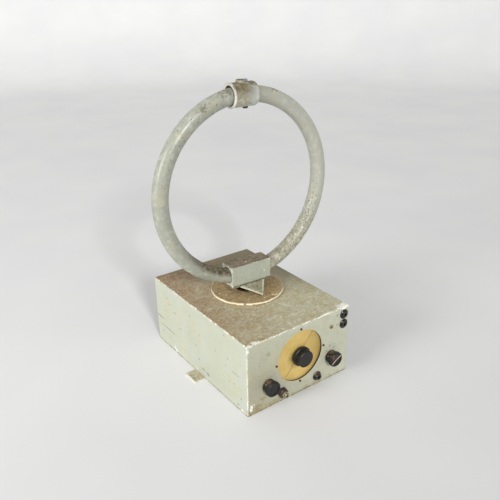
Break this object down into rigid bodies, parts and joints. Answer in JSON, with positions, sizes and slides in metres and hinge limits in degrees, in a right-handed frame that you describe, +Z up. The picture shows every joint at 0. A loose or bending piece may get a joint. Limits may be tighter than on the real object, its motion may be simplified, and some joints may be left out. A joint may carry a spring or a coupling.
{
  "type": "radio direction finder",
  "caption": "Portable radio direction finder: a box receiver with a tuning dial and knobs on its front, a bearing scale on top and a hand-turned ring loop aerial above it.",
  "frame": {"origin": "the middle of the base plate's underside, between the two mounting lugs' outer edges in width and midway in the depth of the case", "axes": "+Z up along the loop's turning axis, -Y out of the front panel, +X to the right seen from the front"},
  "size_m": [0.3244, 0.3043, 0.4805],
  "materials": {
    "case_paint": "chipped grey-green paint on folded aluminium",
    "loop_paint": "worn grey-green paint on aluminium tube",
    "loop_casting": "worn grey-green paint on a cast fitting",
    "steel": "dull plated steel with rust",
    "brass": "tarnished",
    "plated_brass": "worn nickel plate on brass",
    "aluminium": "plain sheet",
    "bakelite": "black moulded bakelite, dulled",
    "brown_bakelite": "brown moulded bakelite",
    "paxolin": "resin bonded paper board",
    "scale_plastic": "cream plastic caked with dirt",
    "dial_enamel": "yellowed cream enamel",
    "enamelled_wire": "bundled enamelled copper wire",
    "valve_glass": "clear bulb",
    "battery_card": "printed card without any marks"
  },
  "bodies": {
    "receiver": {"case": "case_paint", "base_plate": "case_paint", "base_screws": "steel", "bearing_bush": "brass", "bearing_locknut": "brass", "thrust_washer": "paxolin", "brush_block": "paxolin", "brushes": "brass", "dial_plate": "dial_enamel", "dial_spacers": "brass", "dial_screws": "steel", "drive_body": "brass", "capacitor_stator": "aluminium", "volume_control": "steel", "range_switch": "paxolin", "control_nuts": "steel", "phone_sockets": "bakelite", "earth_socket": "bakelite", "socket_liners": "brass", "aerial_terminal": "brown_bakelite", "aerial_ferrule": "plated_brass", "chassis": "aluminium", "chassis_brackets": "aluminium", "bracket_screws": "brass", "valve_holders": "paxolin", "valves": "valve_glass", "if_transformers": "aluminium", "output_transformer": "steel", "tag_board": "paxolin", "ht_battery": "battery_card", "lt_battery": "battery_card", "battery_clamp": "steel"},
    "scale_ring": {"azimuth_scale": "scale_plastic"},
    "loop": {"loop_spindle": "steel", "spindle_collar": "steel", "bearing_pointer": "loop_paint", "pointer_screws": "steel", "loop_base_block": "loop_casting", "loop_tube_left": "loop_paint", "loop_tube_right": "loop_paint", "loop_collar": "loop_casting", "collar_insulator": "paxolin", "collar_screws": "steel", "loop_winding": "enamelled_wire", "retaining_collar": "steel", "slip_ring_core": "paxolin", "slip_rings": "brass"},
    "tuning_input": {"drive_shaft": "steel", "tuning_knob": "bakelite", "tuning_knob_screw": "steel"},
    "tuning_output": {"dial_cursor": "brass", "drive_sleeve": "steel", "drive_balls": "steel", "capacitor_rotor": "aluminium"},
    "volume": {"volume_knob": "bakelite", "volume_knob_screw": "steel", "volume_shaft": "aluminium"},
    "range": {"range_knob": "bakelite", "range_knob_screw": "steel", "switch_rotor": "aluminium"}
  },
  "joints": [
    {"name": "loop_turn", "type": "hinge", "parent": "receiver", "child": "loop", "pos_m": [0.0042, 0.0048, 0.14], "axis": [0, 0, 1], "continuous": true},
    {"name": "scale_set", "type": "hinge", "parent": "receiver", "child": "scale_ring", "pos_m": [0.0042, 0.0048, 0.13], "axis": [0, 0, 1], "continuous": true},
    {"name": "tuning_turn", "type": "hinge", "parent": "receiver", "child": "tuning_input", "pos_m": [0, -0.15, 0.071], "axis": [0, 1, 0], "range_deg": [-540, 540]},
    {"name": "capacitor_turn", "type": "hinge", "parent": "receiver", "child": "tuning_output", "pos_m": [0, -0.1, 0.071], "axis": [0, 1, 0], "range_deg": [-90, 90]},
    {"name": "volume_turn", "type": "hinge", "parent": "receiver", "child": "volume", "pos_m": [-0.065, -0.15, 0.0435], "axis": [0, 1, 0], "range_deg": [-150, 150]},
    {"name": "range_turn", "type": "hinge", "parent": "receiver", "child": "range", "pos_m": [0.065, -0.15, 0.0435], "axis": [0, 1, 0], "range_deg": [-30, 30]}
  ],
  "couplings": [
    {"joint": "capacitor_turn", "follows": "tuning_turn", "ratio": 0.16667}
  ]
}
